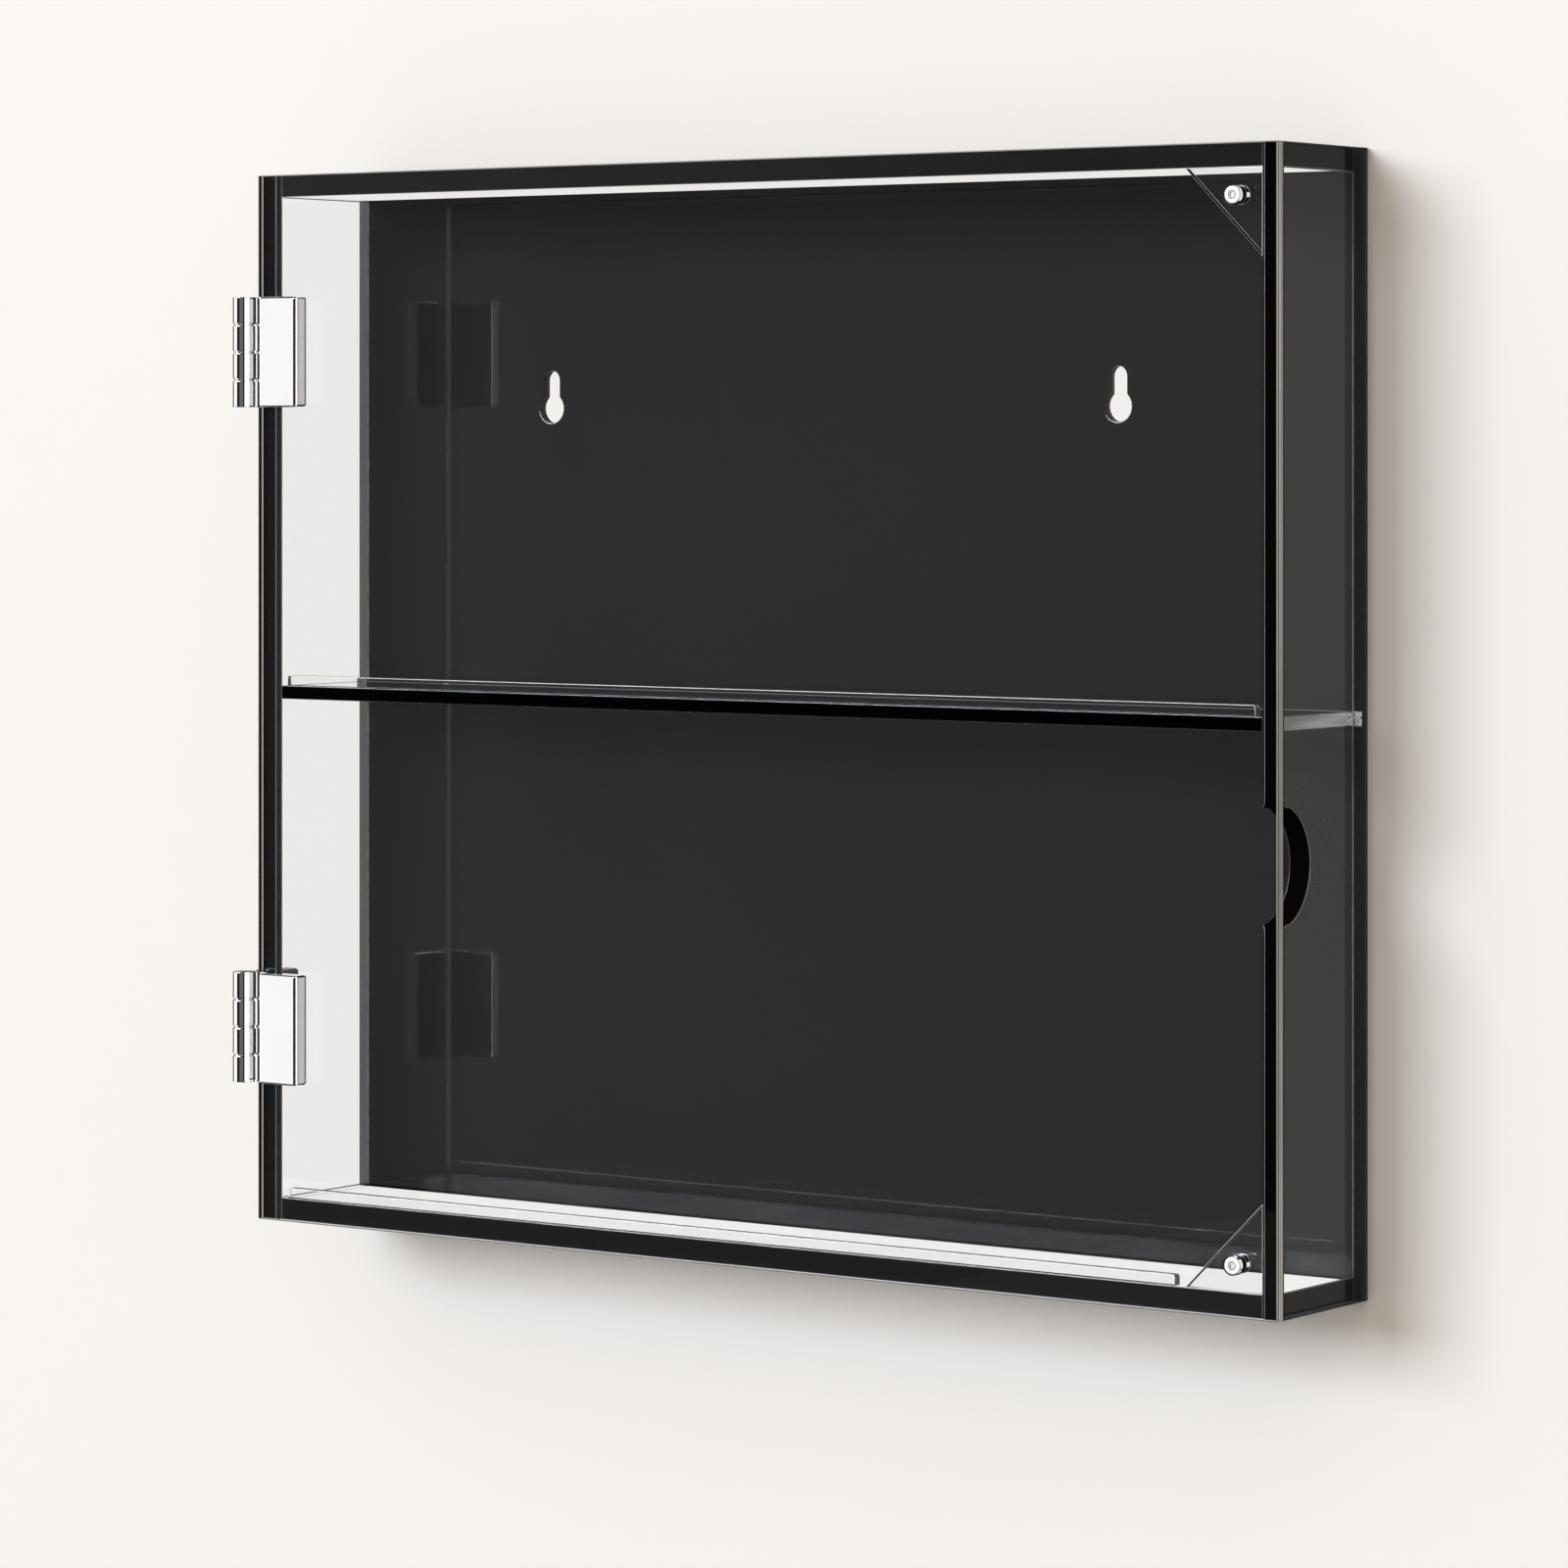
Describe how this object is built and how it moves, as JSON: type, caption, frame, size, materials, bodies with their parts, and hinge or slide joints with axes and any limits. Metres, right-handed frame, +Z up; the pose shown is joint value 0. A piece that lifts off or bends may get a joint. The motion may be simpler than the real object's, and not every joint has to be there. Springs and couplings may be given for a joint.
{
  "type": "trading card display case",
  "caption": "Wall-hung display case for graded cards: clear acrylic box on a black back, with a shelf, card stops, a full-height hinged clear door, magnet catches and a finger notch.",
  "frame": {"origin": "midway between the two keyhole entry centres, on the wall plane (rear face of the back panel)", "axes": "+X to the right of a viewer in front of the case, +Y into the wall, +Z up; the door faces -Y"},
  "size_m": [0.3454, 0.0525, 0.3],
  "materials": {
    "clear_acrylic": "clear cast acrylic sheet, polished faces and edges",
    "black_acrylic": "black cast acrylic sheet, smooth satin gloss",
    "hinge_chrome": "polished chrome plate",
    "magnet_nickel": "bright nickel plate",
    "bonding_pad": "thin dark adhesive foam"
  },
  "bodies": {
    "case": {"back_panel": "black_acrylic", "left_side_panel": "clear_acrylic", "right_side_panel": "clear_acrylic", "top_panel": "clear_acrylic", "bottom_panel": "clear_acrylic", "shelf": "clear_acrylic", "shelf_card_stop": "clear_acrylic", "bottom_card_stop": "clear_acrylic", "upper_gusset": "clear_acrylic", "lower_gusset": "clear_acrylic", "upper_case_magnet": "magnet_nickel", "lower_case_magnet": "magnet_nickel", "upper_case_leaf": "hinge_chrome", "lower_case_leaf": "hinge_chrome", "upper_case_leaf_pad": "bonding_pad", "lower_case_leaf_pad": "bonding_pad", "upper_hinge_pin": "hinge_chrome", "lower_hinge_pin": "hinge_chrome"},
    "door": {"door_panel": "clear_acrylic", "upper_door_leaf": "hinge_chrome", "lower_door_leaf": "hinge_chrome", "upper_door_leaf_pad": "bonding_pad", "lower_door_leaf_pad": "bonding_pad", "upper_door_magnet": "magnet_nickel", "lower_door_magnet": "magnet_nickel", "catch_screws": "magnet_nickel"}
  },
  "joints": [
    {"name": "door_swing", "type": "hinge", "parent": "case", "child": "door", "pos_m": [-0.17235, -0.0491, -0.083], "axis": [0, 0, -1], "range_deg": [0, 180]}
  ]
}
